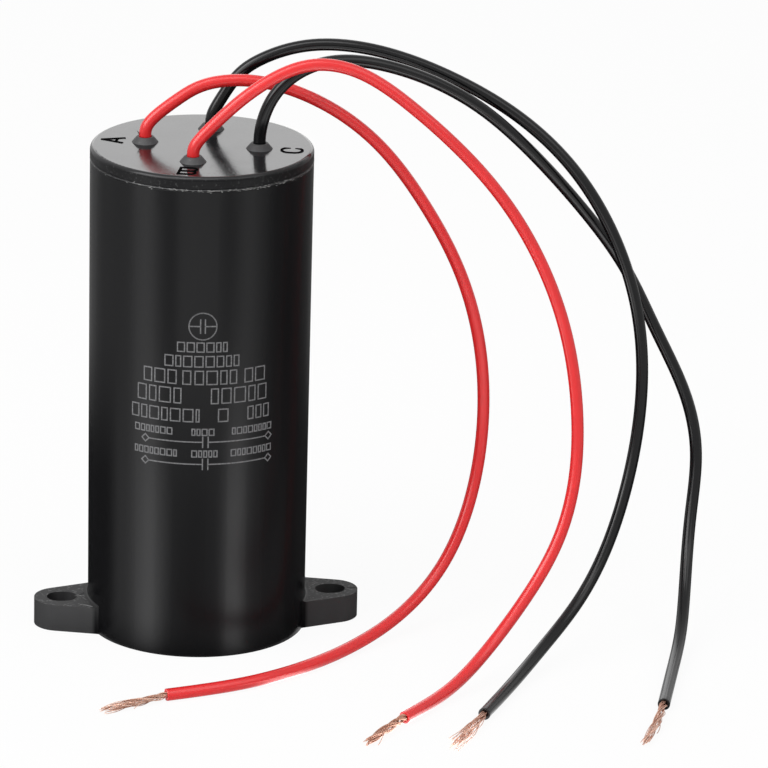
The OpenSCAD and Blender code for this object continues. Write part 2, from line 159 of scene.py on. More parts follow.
# The emblem's place across and up the wall and its radius, in millimetres
EMBLEM = (-2.0, 70.6, 2.8)
PRINT_LIFT = 0.015 * MM
PRINT_DEPTH = 0.03 * MM

# Brightness of the reflector card in the low and the high parts of the can, as stops of
# the turn of the reflected ray to the right of the camera's side, in degrees
LOW_GLOW = [
    (-180, 0), (-110, 0.05), (-99, 0.2), (-92, 1.2), (-80, 1.3), (-71, 2.3), (-62, 3.9),
    (-54, 6.0), (-45, 6.2), (-38, 4.2), (-30, 1.5), (-22, 1.0), (0, 0.7), (22, 1.0),
    (28, 1.4), (35, 5.2), (42, 7.2), (49, 5.8), (55, 2.4), (63, 1.1), (80, 0.6), (92, 0.5),
    (101, 0.4), (112, 0.1), (180, 0)]
HIGH_GLOW = [
    (-180, 0.2), (-120, 0.4), (-106, 0.7), (-84, 1.1), (-75, 1.4), (-66, 3.1), (-58, 3.7),
    (-50, 3.3), (-41, 1.7), (-34, 0.8), (-25, 0.8), (-20, 2.6), (-12, 2.5), (17, 2.5),
    (24, 1.5), (32, 0.8), (39, 1.2), (47, 2.4), (55, 2.7), (64, 1.8), (72, 1.0), (81, 0.5),
    (91, 0.2), (115, 0.1), (180, 0.2)]
# Radii of the card's rings, and where its low stops give way to the high ones, in metres;
# it starts at a dim share by the can's foot and comes up to its full level over CARD_FADE
CARD_RINGS = (0.023, 0.03, 0.04, 0.055, 0.08, 0.12, 0.16, 0.2, 0.3, 0.5)
CARD_LOW_END, CARD_HIGH_START = 0.12, 0.2
CARD_FOOT, CARD_DIM, CARD_FADE = 0.02, 0.15, 0.016
# Panels of light: turn to the right of the camera's side and rise, in degrees, distance
# from the point that they face, size, radiance, and whether they show in gloss only
PANELS_FACE = (0.02, 0, 0.05)
SOFTBOXES = {
    "left_softbox": (-50, 40, 1.0, (0.9, 0.9), 3.0, False),
    "right_softbox": (55, 45, 1.2, (0.7, 0.7), 2.0, False),
    "left_gloss": (-62, 38, 1.0, (0.55, 0.55), 4.5, True),
    "top_gloss": (-10, 68, 1.0, (0.6, 0.4), 4.5, True),
    "back_gloss": (180, 19, 1.2, (0.9, 0.6), 1.1, True),
}
WORLD_LEVEL = 0.5
# Share of the floor that glows where it is seen; the rest takes the shadows
FLOOR_GLOW = 0.93


# ---- settings


def amount(name, description, default, unit="LENGTH"):
    return bpy.props.FloatProperty(name=name, description=description, default=default,
                                   unit=unit)


def colour_of(name, description, default):
    return bpy.props.FloatVectorProperty(name=name, description=description, subtype="COLOR",
                                         size=3, default=default)


class CapacitorSizes(bpy.types.PropertyGroup):
    lead_diameter: amount(
        "Lead diameter", "Outside diameter of the leads' insulation", 2.5 * MM)
    strand_diameter: amount("Strand diameter", "Diameter of one copper strand", 0.15 * MM)
    edge_round: amount("Edge rounding", "Width of the rounding on the case's edges", 0.35 * MM)
    lid_round: amount("Lid rounding", "Width of the rounding on the bosses", 0.12 * MM)
    print_stroke: amount("Print stroke", "Width of the etched strokes", 0.24 * MM)
    bead_radius: amount("Glue bead", "Radius of the glue bead in the seam", 0.24 * MM)
    glue_flecks: bpy.props.IntProperty(
        name="Glue flecks", description="Crumbs of pale glue along the seam", default=150)


class CapacitorColours(bpy.types.PropertyGroup):
    case: colour_of("Case", "Satin moulded case", (0.004, 0.004, 0.0045))
    lid: colour_of("Lid", "Glossy moulded lid", (0.012, 0.012, 0.013))
    red: colour_of("Red insulation", "Small winding's leads", (0.73, 0.024, 0.026))
    black: colour_of("Black insulation", "Large winding's leads", (0.004, 0.004, 0.0045))
    copper: colour_of("Copper", "Bare strands", (0.82, 0.56, 0.45))
    etched: colour_of("Etched print", "Marks burnt into the case", (0.15, 0.15, 0.155))


class CapacitorStudio(bpy.types.PropertyGroup):
    azimuth: amount("Azimuth", "Turn of the view about the vertical", math.radians(8.52),
                    "ROTATION")
    elevation: amount("Elevation", "Angle of the view above the floor", math.radians(18.9),
                      "ROTATION")
    roll: amount("Roll", "Turn of the view about its own axis", math.radians(1.35), "ROTATION")
    distance: amount("Distance", "From the camera to its target", 1.2544)
    target: bpy.props.FloatVectorProperty(
        name="Target", description="Point in the middle of the view", subtype="XYZ",
        size=3, default=(0.03798, 0, 0.04986))
    focal_length: amount("Focal length", "Lens on a 36 mm wide sensor, in millimetres", 288.1,
                         "NONE")


# ---- shading


def arithmetic(operation, swapped=False):
    def method(self, other):
        first, second = (other, self) if swapped else (self, other)
        return self.finish.node("ShaderNodeMath", {"operation": operation},
                                {0: first, 1: second})
    return method


class Tone:
    """A shader socket that adds, subtracts and multiplies as a number does."""

    __add__, __radd__ = arithmetic("ADD"), arithmetic("ADD", swapped=True)
    __sub__, __rsub__ = arithmetic("SUBTRACT"), arithmetic("SUBTRACT", swapped=True)
    __mul__, __rmul__ = arithmetic("MULTIPLY"), arithmetic("MULTIPLY", swapped=True)

    def __init__(self, finish, socket):
        self.finish = finish
        self.socket = socket


class Finish:
    """A material or world whose nodes are written as expressions."""

    def __init__(self, block):
        block.use_nodes = True
        self.tree = block.node_tree
        self.tree.nodes.clear()

    def node(self, kind, settings=None, sockets=None, output=0):
        """Adds a node, sets it up, fills or links its sockets and returns one output."""
        made = self.tree.nodes.new(kind)
        for key, value in (settings or {}).items():
            if key == "stops":
                for stop, (place, level) in zip(made.color_ramp.elements, value):
                    stop.position = place
                    stop.color = (level, level, level, 1)
            else:
                setattr(made, key, value)
        for key, value in (sockets or {}).items():
            if isinstance(value, Tone):
                self.tree.links.new(value.socket, made.inputs[key])
            else:
                made.inputs[key].default_value = value
        return Tone(self, made.outputs[output])

    def place(self, kind="Object"):
        return self.node("ShaderNodeTexCoord", output=kind)

    def parts(self, vector):
        """The x, y and z of a vector."""
        split = self.node("ShaderNodeSeparateXYZ", sockets={0: vector}).socket.node
        return [Tone(self, output) for output in split.outputs]

    def stretched(self, vector, scale):
        return self.node("ShaderNodeMapping", sockets={"Vector": vector, "Scale": scale})

    def noise(self, vector, per_metre, detail=3.0, roughness=0.55):
        return self.node("ShaderNodeTexNoise", sockets={
            "Vector": vector, "Scale": per_metre, "Detail": detail, "Roughness": roughness})

    def ramp(self, value, low, high):
        """0 below low, 1 above high, straight between."""
        return self.node("ShaderNodeMapRange", {"clamp": True}, {
            "Value": value, "From Min": low, "From Max": high})

    def mix(self, factor, first, second):
        colours = [(*c, 1) if isinstance(c, tuple) else c for c in (first, second)]
        return self.node("ShaderNodeMix", {"data_type": "RGBA"},
                         {0: factor, 6: colours[0], 7: colours[1]}, output=2)

    def bump(self, height, distance, normal=None):
        sockets = {"Height": height, "Distance": distance, "Strength": 1.0}
        if normal is not None:
            sockets["Normal"] = normal
        return self.node("ShaderNodeBump", sockets=sockets)

    def surface(self, shader, kind="ShaderNodeOutputMaterial"):
        """Links a shader to the output."""
        self.tree.links.new(shader.socket, self.tree.nodes.new(kind).inputs["Surface"])


def tint(colour, factor):
    return tuple(min(1.0, channel * factor) for channel in colour[:3])


def new_material(name, recipe):
    """A material whose recipe takes a Finish and returns its Principled sockets.

    A recipe may also return several sets of sockets: each later one comes with its mask."""
    made = bpy.data.materials.new(name)
    finish = Finish(made)
    layers = recipe(finish)
    first, *others = layers if isinstance(layers, tuple) else (layers,)
    shader = finish.node("ShaderNodeBsdfPrincipled", sockets=first)
    for mask, sockets in others:
        over = finish.node("ShaderNodeBsdfPrincipled", sockets=sockets)
        shader = finish.node("ShaderNodeMixShader", sockets={0: mask, 1: shader, 2: over})
    finish.surface(shader)
    return made


def moulded_case(colour):
    """Satin black moulding: flow marks and fine peel, and matt ears with pale speckles on their
    upward-facing tops, partly painted light, a painted highlight along their rounded edges, and a
    black line beyond one slot."""
    def recipe(finish):
        place = finish.place()
        x, y, _ = finish.parts(place)
        rise = finish.parts(finish.node("ShaderNodeNewGeometry", output="Normal"))[2]
        peel = finish.noise(place, 900, 2.0)
        grain = finish.noise(place, 5200, 2.0)
        flow = finish.noise(finish.stretched(place, (1, 1, 0.2)), 110, 3.0)
        speck = finish.ramp(finish.noise(place, 1700, 3.0), 0.54, 0.68)
        ear = finish.ramp(x * x + y * y, EAR_ROOT_R ** 2, (EAR_ROOT_R + 0.7 * MM) ** 2)
        upward = finish.ramp(rise, 0.6, 0.95)
        # The ears' rounded edges, where a highlight is painted
        edge = ear * finish.ramp(rise, 0.1, 0.35) * (1 - finish.ramp(rise, 0.85, 0.98))
        # A black line on the ear beyond one slot, wobbling with the peel
        wander = y + (peel - 0.5) * (0.5 * MM)
        dark_line = (finish.ramp(x, SLOT_END, SLOT_END + 0.2 * MM)
                * (1 - finish.ramp(wander * wander, (0.2 * MM) ** 2, (0.36 * MM) ** 2)))
        shade = finish.mix(flow, tint(colour, 0.85), tint(colour, 1.2))
        shade = finish.mix(ear, shade, finish.mix(flow, (0.034, 0.034, 0.035),
                                                  (0.051, 0.051, 0.052)))
        # Pale grey on the ears: speckles on their upward-facing tops, a rough texture with painted
        # light on the tops, and a speckled painted highlight along their rounded edges
        shade = finish.mix(ear * upward * speck * 0.55 + edge * (0.3 + speck * 0.5), shade,
                           (0.2, 0.2, 0.2))
        return {
            "Base Color": finish.mix(ear * dark_line, shade, (0.001, 0.001, 0.001)),
            "Roughness": 0.22 + flow * 0.06 + upward * 0.3 + ear * 0.12,
            "Specular IOR Level": 0.12,
            "Normal": finish.bump(peel, 0.012 * MM, finish.bump(grain, 0.006 * MM)),
        }
    return new_material("case_black", recipe)


def moulded_lid(colour):
    """Polished black moulding with haze, scratches, matt bosses and letters, and sides whose
    darker base is painted shade, with pale scuffs.
    """
    def recipe(finish):
        place = finish.place()
        x, y, z = finish.parts(place)
        rise = finish.parts(finish.node("ShaderNodeNewGeometry", output="Normal"))[2]
        haze = finish.noise(place, 160, 4.0)
        hair = finish.noise(finish.stretched(place, (0.12, 1, 1)), 5000, 2.0)
        speck = finish.ramp(finish.noise(place, 1900, 3.0), 0.58, 0.72)
        # The lid's sides, which are painted darker as painted shade
        side = 1 - finish.ramp(rise, 0.3, 0.9)
        raised = finish.ramp(z, LID_FACE + 0.02 * MM, LID_FACE + 0.05 * MM)
        boss = raised * (1 - finish.ramp(x * x + y * y, (BOSS_REACH - 0.3 * MM) ** 2,
                                         (BOSS_REACH + 0.3 * MM) ** 2))
        shade = finish.mix(haze, tint(colour, 0.8), tint(colour, 1.5))
        polished = {
            "Base Color": finish.mix(boss, shade, finish.mix(speck, (0.05, 0.05, 0.052),
                                                             (0.09, 0.09, 0.09))),
            "Roughness": 0.12 + finish.ramp(haze, 0.4, 0.75) * 0.08 + boss * 0.45,
            "Specular IOR Level": 0.3,
            "Normal": finish.bump(hair, 0.002 * MM, finish.bump(speck, 0.006 * MM)),
        }
        # The sides: a darker base as painted shade, with pale scuff specks
        shaded_scuffed_side = {
            "Base Color": finish.mix(speck * 0.5, (0.004, 0.004, 0.0045), (0.08, 0.08, 0.08)),
            "Roughness": 0.3 + haze * 0.1,
            "Specular IOR Level": 0.12,
            "Normal": finish.bump(speck, 0.01 * MM),
        }
        matt = {
            "Base Color": finish.mix(haze, (0.002, 0.002, 0.002), (0.004, 0.004, 0.004)),
            "Roughness": 0.9,
            "Specular IOR Level": 0.0,
        }
        return polished, (side * (1 - boss), shaded_scuffed_side), (raised * (1 - boss), matt)
    return new_material("lid_black", recipe)


def insulation(name, colour, gloss, rough):
    """Extruded PVC: faint lines along the lead and a soft gloss."""
    def recipe(finish):
        along = finish.place("UV")
        lines = finish.noise(finish.stretched(along, (1.1, 0.03, 1)), 1.0, 2.0)
        cloud = finish.noise(finish.stretched(along, (0.25, 0.12, 1)), 1.0, 2.0)
        return {
            "Base Color": finish.mix(cloud, tint(colour, 0.9), tint(colour, 1.12)),
            "Roughness": rough + lines * 0.14,
            "Specular IOR Level": gloss,
            "Normal": finish.bump(lines, 0.09 * MM),
        }
    return new_material(name, recipe)


def bare_copper(name, colour):
    """Drawn copper, each strand tarnished to its own shade."""
    def recipe(finish):
        strand = finish.stretched(finish.place("UV"), (0.31, 0.12, 1))
        tarnish = finish.noise(strand, 1.0, 2.0)
        return {
            "Base Color": finish.mix(finish.ramp(tarnish, 0.42, 0.66), colour, TARNISH),
            "Metallic": 0.6,
            "Roughness": 0.4 + tarnish * 0.15,
        }
    return new_material(name, recipe)


def etched_print(colour):
    """Plastic that a beam has foamed to a dull grey, unevenly."""
    def recipe(finish):
        burn = finish.noise(finish.place(), 2600, 3.0)
        return {
            "Base Color": finish.mix(finish.ramp(burn, 0.3, 0.7), tint(colour, 0.6),
                                     tint(colour, 1.35)),
            "Roughness": 0.7 + burn * 0.2,
        }
    return new_material("etched_print", recipe)


def moulding_flash():
    """Thin torn plastic that catches the light."""
    def recipe(finish):
        tear = finish.noise(finish.place(), 2400, 3.0)
        return {
            "Base Color": finish.mix(tear, (0.02, 0.02, 0.02), (0.10, 0.10, 0.10)),
            "Roughness": 0.3 + tear * 0.3,
            "Normal": finish.bump(tear, 0.03 * MM),
        }
    return new_material("moulding_flash", recipe)


def cured_glue():
    """Black glue with pale, frayed patches."""
    def recipe(finish):
        place = finish.place()
        patch = finish.ramp(finish.noise(place, 1300, 4.0), 0.58, 0.68)
        return {
            "Base Color": finish.mix(patch, (0.010, 0.010, 0.011), (0.06, 0.06, 0.062)),
            "Roughness": 0.4 + patch * 0.3,
            "Normal": finish.bump(finish.noise(place, 3000), 0.05 * MM),
        }
    return new_material("seam_glue", recipe)


def glue_crumbs():
    """Pale crumbs of dried glue."""
    def recipe(finish):
        shade = finish.noise(finish.place(), 2200, 3.0)
        return {
            "Base Color": finish.mix(shade, (0.03, 0.03, 0.03), (0.34, 0.34, 0.33)),
            "Roughness": 0.55 + shade * 0.2,
        }
    return new_material("glue_crumbs", recipe)


# ---- shapes


def deselect():
    if bpy.context.object and bpy.context.object.mode != "OBJECT":
        bpy.ops.object.mode_set(mode="OBJECT")
    bpy.ops.object.select_all(action="DESELECT")


def pick(piece):
    deselect()
    piece.select_set(True)
    bpy.context.view_layer.objects.active = piece


def finished(piece, material):
    """Gives a finished piece its material and lets it ride on the body."""
    piece.data.materials.clear()
    piece.data.materials.append(material)
    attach(piece, BODY)


def dress(nodes, material):
    """Gives carried-over solids a better material."""
    for name in nodes:
        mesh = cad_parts[name].data
        mesh.materials.clear()
        mesh.materials.append(material)


def placed(name, data):
    """A new object in the scene, at the origin."""
    made = bpy.data.objects.new(name, data)
    bpy.context.scene.collection.objects.link(made)
    return made


def piece_from(bm, name):
    mesh = bpy.data.meshes.new(name)
    bm.to_mesh(mesh)
    bm.free()
    return placed(name, mesh)


def joined_copies(piece, moves, name):
    """One piece of many copies of a model, each with its points moved by its own rule."""
    copies = []
    for move in moves:
        mesh = piece.data.copy()
        for vert in mesh.vertices:
            vert.co = move(vert.co.copy())
        copies.append(placed(name, mesh))
    bpy.data.objects.remove(piece)
    return joined(copies, name)


def joined(pieces, name):
    deselect()
    for piece in pieces:
        piece.select_set(True)
    bpy.context.view_layer.objects.active = pieces[0]
    bpy.ops.object.join()
    pieces[0].name = name
    return pieces[0]


def rounded_copy(node, name, width, above=None, within=None):
    """A copy of a solid, its triangles joined and its sharp edges rounded.

    With a height and a radius, only the edges above and within them are rounded."""
    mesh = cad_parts[node].data.copy()
    piece = placed(name, mesh)
    pick(piece)
    if mesh.has_custom_normals:
        bpy.ops.mesh.customdata_custom_splitnormals_clear()
    bpy.ops.object.mode_set(mode="EDIT")
    bpy.ops.mesh.select_all(action="SELECT")
    bpy.ops.mesh.remove_doubles(threshold=0.002 * MM)
    bpy.ops.mesh.dissolve_limited(angle_limit=math.radians(0.2))
    bpy.ops.object.mode_set(mode="OBJECT")
    bevel = piece.modifiers.new("edges", "BEVEL")
    bevel.width = width
    bevel.segments = 3
    bevel.limit_method = "ANGLE"
    bevel.angle_limit = math.radians(35)
    bevel.miter_outer = "MITER_ARC"
    if above is not None:
        bm = bmesh.new()
        bm.from_mesh(mesh)
        weight = bm.edges.layers.float.new("bevel_weight_edge")
        for edge in bm.edges:
            inside = all(v.co.z > above and v.co.xy.length < within for v in edge.verts)
            edge[weight] = float(inside and edge.calc_face_angle(0) > bevel.angle_limit)
        bm.to_mesh(mesh)
        bm.free()
        bevel.limit_method = "WEIGHT"
    bpy.ops.object.modifier_apply(modifier=bevel.name)
    bpy.ops.object.shade_smooth_by_angle(angle=math.radians(28))
    flats = piece.modifiers.new("flats", "WEIGHTED_NORMAL")
    flats.keep_sharp = True
    bpy.ops.object.modifier_apply(modifier=flats.name)
    return piece


def spline(points, steps):
    """A uniform cubic spline that starts and ends on its first and last points."""
    points = [Vector(p) for p in points]
    points = [2 * points[0] - points[1], *points, 2 * points[-1] - points[-2]]
    line = []
    for p, q, r, s in zip(points, points[1:], points[2:], points[3:]):
        for step in range(steps):
            t = step / steps
            weights = ((1 - t) ** 3, 3 * t ** 3 - 6 * t ** 2 + 4,
                       -3 * t ** 3 + 3 * t ** 2 + 3 * t + 1, t ** 3)
            line.append((weights[0] * p + weights[1] * q + weights[2] * r + weights[3] * s) / 6)
    line.append((points[-3] + 4 * points[-2] + points[-1]) / 6)
    return line


def frames(line, first_side):
    """Direction and two untwisted side directions at each point of a line."""
    side = Vector(first_side)
    made = []
    for i, point in enumerate(line):
        way = (line[min(i + 1, len(line) - 1)] - line[max(i - 1, 0)]).normalized()
        side = (side - side.dot(way) * way).normalized()
        made.append((point, way, side, way.cross(side)))
    return made


def sweep(bm, rings, sides, uv_layer, shift=0.0):
    """A closed tube through rings of (centre, side, other, radius); UV in millimetres."""
    loops = []
    for centre, side, other, radius in rings:
        loops.append([bm.verts.new(centre + radius * (math.cos(math.tau * k / sides) * side
                                                      + math.sin(math.tau * k / sides) * other))
                      for k in range(sides)])
    around = [shift + math.tau * rings[0][3] / MM * k / sides for k in range(sides + 1)]
    along = 0.0
    for i in range(len(rings) - 1):
        step = (rings[i + 1][0] - rings[i][0]).length / MM
        for k in range(sides):
            n = (k + 1) % sides
            face = bm.faces.new((loops[i][k], loops[i][n], loops[i + 1][n], loops[i + 1][k]))
            face.smooth = True
            corners = ((around[k], along), (around[k + 1], along),
                       (around[k + 1], along + step), (around[k], along + step))
            for corner, uv in zip(face.loops, corners):
                corner[uv_layer].uv = uv
        along += step
    bm.faces.new(list(reversed(loops[0])))
    bm.faces.new(loops[-1])


# ---- leads


def boss_exit(lead):
    turn = BOSS_TURN + math.radians(90) * lead["quarter"]
    return Vector((BOSS_RING * math.cos(turn), BOSS_RING * math.sin(turn), LID_TOP))


def lead_line(lead):
    """The centreline of a free lead, from its boss to where its insulation is cut."""
    start = boss_exit(lead)
    rise = start + Vector((0, 0, LEAD_RISE))
    return spline([start, rise, *[Vector(p) * MM for p in lead["route"]]], 10)


def insulation_tube(key, line, radius):
    """The lead's insulation, hollow where it is cut round the strands."""
    made = frames(line, (1, 0, 0))
    rings = [(point, side, other, radius) for point, way, side, other in made]
    end, way, side, other = made[-1]
    rings[-1] = (end - way * 0.12 * MM, side, other, radius)
    # How far out along the lead, in millimetres, and at what share of its radius
    lip = [(-0.03, 0.995), (0.04, 0.95), (0.05, 0.82), (0.02, 0.6), (-0.08, 0.47), (-1.8, 0.44)]
    rings += [(end + way * out * MM, side, other, radius * share) for out, share in lip]
    bm = bmesh.new()
    sweep(bm, rings, 24, bm.loops.layers.uv.new("UVMap"))
    seed = Vector((ord(key), 0, 0))
    for vert in bm.verts:
        if (vert.co - end).length < radius * 1.2:
            ragged = noise.noise(vert.co / (0.5 * MM) + seed)
            vert.co += way * ragged * 0.12 * MM
    return piece_from(bm, "insulation_" + key)


def bundle_width(widths, share):
    """The width of a bundle at a share of its length, eased between its stops."""
    spot = share * (len(widths) - 1)
    stop = min(int(spot), len(widths) - 2)
    ease = spot - stop
    ease = ease * ease * (3 - 2 * ease)
    return (widths[stop] * (1 - ease) + widths[stop + 1] * ease) * MM


def strand_paths(key, start_way, thick):
    """The line of each bare strand: ropes twisted together, loosening to the tip."""
    end = BARE_ENDS[key]
    rng = random.Random("strands " + key)
    points = [Vector(p) * MM for p in end["line"]]
    root = points[0] - start_way * ROOT_DEPTH
    made = frames(spline([root, points[0], points[0].lerp(points[1], 0.33), *points[1:]], 10),
                  (0, 0, 1))
    paths = []
    for k in range(end["ropes"]):
        for j in range(end["strands"]):
            reach = 1 - rng.uniform(0, end["fray"])
            wander = Vector([rng.uniform(0, 50) for _ in range(3)])
            share = math.sqrt((j + 0.5) / end["strands"])
            path = []
            for i, (point, way, up, across) in enumerate(made):
                s = i / (len(made) - 1)
                if s > reach:
                    break
                half = bundle_width(end["width"], s) / 2
                turn = math.tau * (k / end["ropes"] + end["turns"] * s)
                lay = GOLDEN_ANGLE * j + math.tau * end["turns"] * 0.5 * s
                rope, strand = half * ROPE_OUT, half * STRAND_OUT * share
                x = math.cos(turn) * rope + math.cos(lay) * strand
                y = math.sin(turn) * rope + math.sin(lay) * strand
                sway = noise.noise_vector(wander + Vector((s * 4, 0, 0)))
                flat = 1 + (end["flat"] - 1) * s
                spot = (point + up * x / flat + across * y * flat
                        + sway * (0.12 + 1.6 * end["loose"] * s) * MM)
                spot.z = max(spot.z, thick * CLEARANCE)
                path.append(spot)
            paths.append(path)
    return paths + [stray_hair(made, rng, thick) for _ in range(end["hairs"])]


def stray_hair(made, rng, thick):
    """A single strand that leaves the bundle near its tip and curls away."""
    point, way, up, across = made[rng.randint(len(made) // 2, len(made) * 4 // 5)]
    lean = across * rng.choice((-1, 1)) * rng.uniform(0.12, 0.3) + up * rng.uniform(0.0, 0.2)
    spot = point + lean.normalized() * 0.4 * MM
    heading = (way + lean).normalized()
    path = []
    for _ in range(HAIR_STEPS):
        spot = spot + heading * HAIR_STEP * MM
        heading = (heading + across * rng.uniform(-0.15, 0.15) + way * 0.05
                   - Vector((0, 0, 0.05))).normalized()
        path.append(Vector((spot.x, spot.y, max(spot.z, thick * CLEARANCE))))
    return path


def bare_strands(key, start_way, thick):
    bm = bmesh.new()
    uv_layer = bm.loops.layers.uv.new("UVMap")
    for number, path in enumerate(strand_paths(key, start_way, thick)):
        rings = [(point, side, other, thick)
                 for point, way, side, other in frames(path, (0.1, 0.2, 1))]
        sweep(bm, rings, 6, uv_layer, 7.3 * number)
    return piece_from(bm, "bare_strands_" + key)


class CAPACITOR_OT_leads(bpy.types.Operator):
    """Add the four free leads with their stripped ends"""

    bl_idname = "capacitor.leads"
    bl_label = "Leads"

    def execute(self, context):
        noise.seed_set(NOISE_SEED)
        sizes = context.scene.capacitor_sizes
        colours = context.scene.capacitor_colours
        pvc = {name: insulation("insulation_" + name, getattr(colours, name), gloss, rough)
               for name, gloss, rough in (("red", 0.4, 0.18), ("black", 0.24, 0.12))}
        for key, lead in LEADS.items():
            shine = BARE_ENDS[key]["shine"]
            shade = tuple(shine * bright + (1 - shine) * dull
                          for bright, dull in zip(colours.copper, TARNISH))
            copper = bare_copper("bare_copper_" + key, shade)
            line = lead_line(lead)
            tube = insulation_tube(key, line, sizes.lead_diameter / 2)
            finished(tube, pvc[lead["colour"]])
            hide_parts(lead["node"])
            strands = bare_strands(key, (line[-1] - line[-2]).normalized(),
                                   sizes.strand_diameter / 2)
            finished(strands, copper)
            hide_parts("strands_" + key)
            dress(["tail_" + key], pvc[lead["colour"]])
            dress(["conductor_" + key], copper)
        return {"FINISHED"}


# ---- can


class CAPACITOR_OT_case(bpy.types.Operator):
    """Add the moulded case with its ears, its edges rounded"""

    bl_idname = "capacitor.case"
    bl_label = "Case"

    def execute(self, context):
        sizes = context.scene.capacitor_sizes
        material = moulded_case(context.scene.capacitor_colours.case)
        case = rounded_copy("case", "case_moulding", sizes.edge_round)
        finished(case, material)
        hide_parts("case")
        return {"FINISHED"}


class CAPACITOR_OT_lid(bpy.types.Operator):
    """Add the glossy lid with its bosses and letters"""

    bl_idname = "capacitor.lid"
    bl_label = "Lid"

    def execute(self, context):
        sizes = context.scene.capacitor_sizes
        material = moulded_lid(context.scene.capacitor_colours.lid)
        lid = rounded_copy("lid", "lid_moulding", sizes.lid_round,
                           above=LID_TOP - 0.1 * MM, within=BOSS_REACH)
        for vert in lid.data.vertices:
            if vert.co.z > LID_FACE and vert.co.xy.length > BOSS_REACH:
                vert.co.z = LID_FACE + (vert.co.z - LID_FACE) * LETTER_SHARE
        finished(lid, material)
        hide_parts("lid")
        return {"FINISHED"}


def flash_sliver(start, end, width, height):
    """A ragged ridge of moulding flash, tapered to both ends, between two points in mm."""
    start, end = Vector(start) * MM, Vector(end) * MM
    run = end - start
    deselect()
    bpy.ops.mesh.primitive_cube_add(size=1, location=(0, 0, 0))
    sliver = bpy.context.object
    bpy.ops.object.mode_set(mode="EDIT")
    bpy.ops.mesh.subdivide(number_cuts=5)
    bpy.ops.object.mode_set(mode="OBJECT")
    turn = run.to_track_quat("X", "Z").to_matrix()
    for vert in sliver.data.vertices:
        x, y, z = vert.co
        share = (1 - (2 * x) ** 2) * (0.75 + 0.5 * noise.noise(Vector((x * 9, 0, start.x / MM))))
        local = Vector(((x + 0.5) * run.length, y * width * MM * share * (0.5 - z),
                        (z + 0.5) * height * MM * share - 0.02 * MM))
        vert.co = start + turn @ local
    return sliver


class CAPACITOR_OT_flash(bpy.types.Operator):
    """Add the slivers of moulding flash on the ears and beside a boss"""

    bl_idname = "capacitor.flash"
    bl_label = "Moulding flash"

    def execute(self, context):
        slivers = joined([flash_sliver(*ridge) for ridge in FLASH], "moulding_flash")
        finished(slivers, moulding_flash())
        return {"FINISHED"}


def seam_place(rng):
    """Where a crumb of glue lies on the seam, and how far it is flattened."""
    front = math.radians(-80) + bpy.context.scene.capacitor_studio.azimuth
    turn = rng.choice((rng.gauss(front, 0.5), rng.gauss(front, 0.5), rng.uniform(0, math.tau)))
    length = rng.uniform(0.1, 0.42) * MM
    height = rng.uniform(0.05, 0.11) * MM
    drop = rng.gauss(-0.05, 0.14) * MM
    return (Matrix.Rotation(turn, 4, "Z")
            @ Matrix.Translation((CASE_RIM_R, 0, CASE_TOP + drop))
            @ Matrix.Rotation(rng.uniform(-0.5, 0.5), 4, "X")
            @ Matrix.Diagonal((0.05 * MM, length, height, 1)))


class CAPACITOR_OT_seam(bpy.types.Operator):
    """Add the uneven glue bead between rim and lid, with its crumbs"""

    bl_idname = "capacitor.seam"
    bl_label = "Glue seam"

    def execute(self, context):
        noise.seed_set(NOISE_SEED)
        sizes = context.scene.capacitor_sizes
        deselect()
        ring_r = CASE_RIM_R - sizes.bead_radius * 0.75
        bpy.ops.mesh.primitive_torus_add(
            location=(0, 0, CASE_TOP), major_radius=ring_r, minor_radius=sizes.bead_radius,
            major_segments=600, minor_segments=8)
        bead = context.object
        bead.name = "glue_bead"
        bpy.ops.object.transform_apply(location=True, rotation=True, scale=True)
        for vert in bead.data.vertices:
            out = Vector((vert.co.x, vert.co.y, 0)).normalized()
            middle = out * ring_r + Vector((0, 0, CASE_TOP))
            swell = 0.75 + 0.45 * noise.noise(out * 38) + 0.25 * noise.noise(vert.co / (0.3 * MM))
            vert.co = middle + (vert.co - middle) * swell
        bpy.ops.object.shade_smooth()
        finished(bead, cured_glue())
        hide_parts("seam_bead")
        rng = random.Random("crumbs")
        deselect()
        bpy.ops.mesh.primitive_ico_sphere_add(subdivisions=1, radius=1.0)
        places = [seam_place(rng) for _ in range(sizes.glue_flecks)]
        moves = [lambda co, place=place: place @ co
                 + noise.noise_vector(place @ co / (0.15 * MM)) * 0.02 * MM
                 for place in places]
        crumbs = joined_copies(context.object, moves, "glue_crumbs")
        finished(crumbs, glue_crumbs())
        return {"FINISHED"}


# ---- print


def on_can(turn, height, lift):
    """The point on the can's wall at a turn from the front and a height, in metres."""
    radius = CASE_BASE_R + (CASE_RIM_R - CASE_BASE_R) * height / CASE_TOP + lift
    return Vector((radius * math.sin(turn), -radius * math.cos(turn), height))


def box_strokes(left, right, low, high):
    return [((left, low), (left, high)), ((right, low), (right, high)),
            ((left, low), (right, low)), ((left, high), (right, high))]


def diamond_strokes(x, z, half):
    tips = [(x - half, z), (x, z + half), (x + half, z), (x, z - half)]
    return list(zip(tips, tips[1:] + tips[:1]))


def row_strokes(middle, height, groups, rng):
    """A row of open boxes in groups, as (x, z) strokes in millimetres."""
    strokes = []
    for start, end in groups:
        x = math.radians(start) * CASE_RIM_R / MM
        stop = math.radians(end) * CASE_RIM_R / MM
        low, high = middle - height / 2, middle + height / 2
        while x < stop - 0.5:
            width = min(rng.choice((0.45, 0.6, 0.75)) * height, stop - x)
            strokes += box_strokes(x, x + width, low, high)
            x += width + 0.18 * height + 0.2
    return strokes


